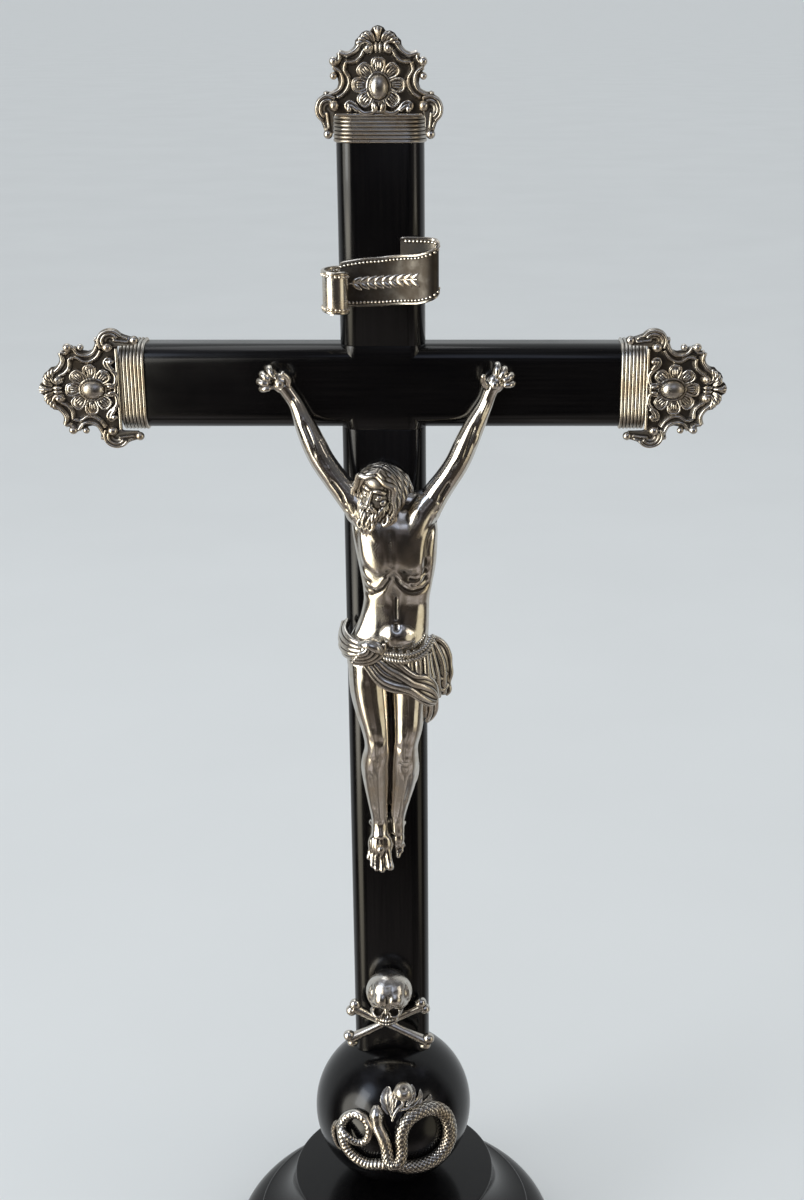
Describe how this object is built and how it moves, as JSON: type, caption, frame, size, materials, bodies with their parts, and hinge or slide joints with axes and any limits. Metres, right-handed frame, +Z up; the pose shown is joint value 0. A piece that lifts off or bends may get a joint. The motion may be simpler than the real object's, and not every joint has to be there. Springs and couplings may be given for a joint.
{
  "type": "altar cross",
  "caption": "Standing altar cross: rounded black wooden beams with scrolled silver end caps, corpus, title scroll, skull and bones, on an orb with a serpent and a turned foot.",
  "frame": {"origin": "middle of the underside of the felt, on the surface that the cross stands on", "axes": "+Z up along the shaft, +X towards the end of the crossbar on the viewer's right, the front with the corpus faces -Y"},
  "size_m": [0.3396, 0.19, 0.7098],
  "materials": {
    "ebonised_wood": "black polished lacquer over close-grained wood",
    "aged_silver": "polished silver, brown to black in the recesses",
    "plain_silver": "plain tarnished silver sheet and pins",
    "bare_wood": "bare",
    "felt": "wool felt",
    "steel": "plain",
    "brass": "plain"
  },
  "bodies": {
    "stand": {"base_felt": "felt", "base_foot": "ebonised_wood", "base_collar": "ebonised_wood", "tie_bolt": "steel", "tie_washer": "steel", "tie_insert": "brass", "orb": "ebonised_wood", "serpent": "aged_silver", "apple": "aged_silver", "serpent_pins": "plain_silver"},
    "cross": {"shaft_lower": "ebonised_wood", "crossbar": "ebonised_wood", "shaft_upper": "ebonised_wood", "ferrule_top": "aged_silver", "ferrule_left": "aged_silver", "ferrule_right": "aged_silver", "cartouche_top": "aged_silver", "cartouche_left": "aged_silver", "cartouche_right": "aged_silver", "title_scroll": "aged_silver", "skull": "aged_silver", "crossbones": "aged_silver", "corpus_body": "aged_silver", "corpus_head": "aged_silver", "corpus_arm_left": "aged_silver", "corpus_arm_right": "aged_silver", "loincloth": "aged_silver", "waist_rope": "aged_silver", "hand_nails": "aged_silver", "foot_nail": "aged_silver", "back_plate_top": "plain_silver", "back_plate_left": "plain_silver", "back_plate_right": "plain_silver", "ferrule_pins": "plain_silver", "title_pins": "plain_silver", "skull_pin": "plain_silver", "corpus_pins": "plain_silver", "dowel_lower": "bare_wood", "dowel_upper": "bare_wood"}
  },
  "joints": [
    {"name": "cross_lift", "type": "slide", "parent": "stand", "child": "cross", "axis": [0, 0, 1], "range_m": [0, 0.05]}
  ]
}
